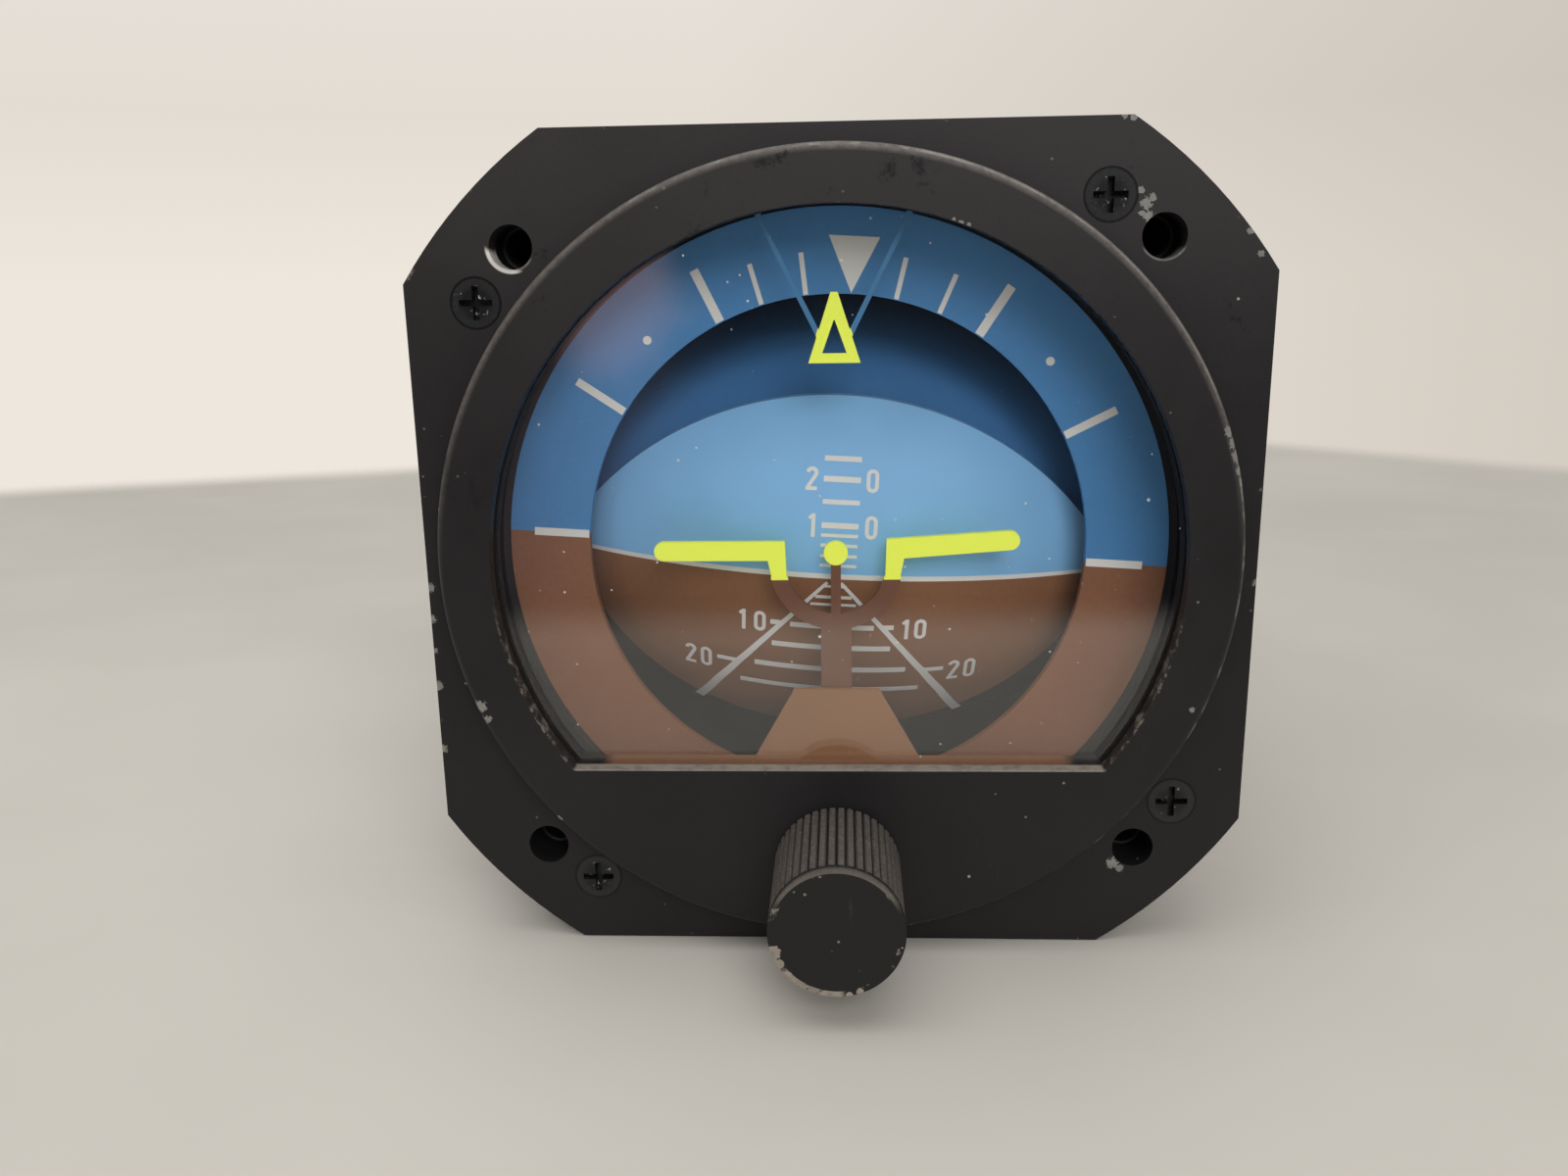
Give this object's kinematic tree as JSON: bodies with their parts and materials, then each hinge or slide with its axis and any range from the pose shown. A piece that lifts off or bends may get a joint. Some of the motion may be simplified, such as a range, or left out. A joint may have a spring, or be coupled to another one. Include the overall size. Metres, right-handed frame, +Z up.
{
  "type": "attitude indicator",
  "caption": "Panel attitude indicator: square flanged case, flat-bottomed window, rolling and pitching horizon display, height-adjustable aircraft symbol, knob, and an air-driven gyro inside.",
  "frame": {"origin": "centre of the four mounting holes, on the case axis, in the front face of the mounting flange", "axes": "+Y into the instrument along the case axis, +Z up, +X to the right as the pilot sees the face"},
  "size_m": [0.0848, 0.1761, 0.0848],
  "materials": {
    "air_nozzles": "turned",
    "aircraft_symbol": "yellow-green fluorescent wings, brown arc and stem",
    "bearing_carrier": "machined",
    "bearing_spacer": "turned",
    "bezel": "satin black paint on cast aluminium",
    "bezel_screws": "black finish on steel",
    "carrier_screws": "plain",
    "case": "satin black paint on drawn aluminium",
    "cover_glass": "clear",
    "display_pivots": "ground",
    "display_weights": "turned",
    "dome_screws": "plain",
    "exhaust_block": "machined",
    "filter_cap": "moulded",
    "front_seal": "matt black",
    "glass_gasket": "matt black",
    "glass_retainer": "matt black",
    "guide_posts": "turned",
    "gyro_rotor": "turned and balanced",
    "horizon_dome": "matt dark blue over dark brown",
    "housing_cap": "cast",
    "housing_cap_screws": "plain",
    "inlet_filter": "felt",
    "inlet_washer": "pressed",
    "knob": "moulded black, worn at the edges",
    "knob_set_screw": "black oxide",
    "knob_spindle": "ground",
    "outer_gimbal": "cast and machined",
    "pedestal_shroud": "matt tan paint",
    "pitch_bearing_inner_rings": "ground",
    "pitch_bearing_outer_rings": "ground",
    "pitch_crank": "pressed",
    "pitch_display": "matt light blue over brown, white marks",
    "pitch_link": "pressed",
    "pitch_trunnions": "ground",
    "port_plug": "moulded red",
    "ring_rivets": "plain",
    "roll_balance_weights": "turned",
    "roll_bearing_inner_rings": "ground",
    "roll_bearing_outer_rings": "ground",
    "roll_ring": "matt blue over brown, white marks",
    "roll_shaft": "ground",
    "rotor_housing": "cast",
    "rotor_shaft": "ground",
    "shaft_clip": "spring steel",
    "shaft_screws": "plain",
    "shroud_screws": "plain",
    "spin_bearing_inner_rings": "ground",
    "spin_bearing_outer_rings": "ground",
    "spindle_bush": "turned",
    "spindle_clip": "spring steel",
    "symbol_carrier": "pressed sheet",
    "symbol_rivets": "plain",
    "top_pointer": "yellow-green fluorescent paint",
    "vane_pair_x": "pressed",
    "vane_pair_y": "pressed"
  },
  "bodies": {
    "case": {"bezel": "bezel", "bezel_screws": "bezel_screws", "cover_glass": "cover_glass", "glass_gasket": "glass_gasket", "glass_retainer": "glass_retainer", "case": "case", "front_seal": "front_seal", "pedestal_shroud": "pedestal_shroud", "shroud_screws": "shroud_screws", "top_pointer": "top_pointer", "guide_posts": "guide_posts", "spindle_bush": "spindle_bush", "bearing_carrier": "bearing_carrier", "carrier_screws": "carrier_screws", "roll_bearing_outer_rings": "roll_bearing_outer_rings", "inlet_washer": "inlet_washer", "inlet_filter": "inlet_filter", "filter_cap": "filter_cap", "port_plug": "port_plug"},
    "knob_group": {"knob": "knob", "knob_spindle": "knob_spindle", "knob_set_screw": "knob_set_screw", "spindle_clip": "spindle_clip"},
    "symbol_group": {"aircraft_symbol": "aircraft_symbol", "symbol_carrier": "symbol_carrier", "symbol_rivets": "symbol_rivets"},
    "roll_frame": {"roll_ring": "roll_ring", "ring_rivets": "ring_rivets", "outer_gimbal": "outer_gimbal", "roll_shaft": "roll_shaft", "shaft_screws": "shaft_screws", "shaft_clip": "shaft_clip", "roll_bearing_inner_rings": "roll_bearing_inner_rings", "bearing_spacer": "bearing_spacer", "horizon_dome": "horizon_dome", "dome_screws": "dome_screws", "display_pivots": "display_pivots", "pitch_bearing_outer_rings": "pitch_bearing_outer_rings", "roll_balance_weights": "roll_balance_weights"},
    "display_group": {"pitch_display": "pitch_display", "display_weights": "display_weights"},
    "link": {"pitch_link": "pitch_link"},
    "gyro": {"rotor_housing": "rotor_housing", "housing_cap": "housing_cap", "housing_cap_screws": "housing_cap_screws", "exhaust_block": "exhaust_block", "pitch_trunnions": "pitch_trunnions", "pitch_bearing_inner_rings": "pitch_bearing_inner_rings", "pitch_crank": "pitch_crank", "air_nozzles": "air_nozzles", "spin_bearing_outer_rings": "spin_bearing_outer_rings"},
    "rotor_group": {"gyro_rotor": "gyro_rotor", "rotor_shaft": "rotor_shaft", "spin_bearing_inner_rings": "spin_bearing_inner_rings"},
    "vanes_x": {"vane_pair_x": "vane_pair_x"},
    "vanes_y": {"vane_pair_y": "vane_pair_y"}
  },
  "joints": [
    {"name": "knob_turn", "type": "hinge", "parent": "case", "child": "knob_group", "pos_m": [0, 0, -0.0322], "axis": [0, 1, 0], "range_deg": [-35, 35]},
    {"name": "symbol_slide", "type": "slide", "parent": "case", "child": "symbol_group", "axis": [0, 0, 1], "range_m": [-0.0023, 0.0023]},
    {"name": "roll", "type": "hinge", "parent": "case", "child": "roll_frame", "pos_m": [0, 0.12, 0], "axis": [0, 1, 0], "continuous": true},
    {"name": "pitch", "type": "hinge", "parent": "roll_frame", "child": "gyro", "pos_m": [0, 0.072, 0], "axis": [0.9983, 0, -0.0576], "range_deg": [-65.3, 54.7]},
    {"name": "display_pitch", "type": "hinge", "parent": "roll_frame", "child": "display_group", "pos_m": [0, 0.036, 0], "axis": [0.9983, 0, -0.0576], "range_deg": [-65.3, 54.7]},
    {"name": "link_swing", "type": "hinge", "parent": "gyro", "child": "link", "pos_m": [0.00052, 0.07117, 0.00895], "axis": [0.9983, 0, -0.0576], "range_deg": [-54.7, 65.3]},
    {"name": "rotor_spin", "type": "hinge", "parent": "gyro", "child": "rotor_group", "pos_m": [0, 0.072, 0], "axis": [0.0573, -0.0924, 0.9941], "continuous": true},
    {"name": "vane_x_swing", "type": "hinge", "parent": "gyro", "child": "vanes_x", "pos_m": [-0.00118, 0.0739, -0.02048], "axis": [0.9983, 0, -0.0576], "range_deg": [-10, 10]},
    {"name": "vane_y_swing", "type": "hinge", "parent": "gyro", "child": "vanes_y", "pos_m": [-0.00134, 0.07416, -0.02326], "axis": [0.0053, 0.9957, 0.0922], "range_deg": [-10, 10]}
  ],
  "couplings": [
    {"joint": "knob_turn", "follows": "symbol_slide", "rad_per_m": 260.42},
    {"joint": "display_pitch", "follows": "pitch", "ratio": 1},
    {"joint": "link_swing", "follows": "pitch", "ratio": -1}
  ]
}
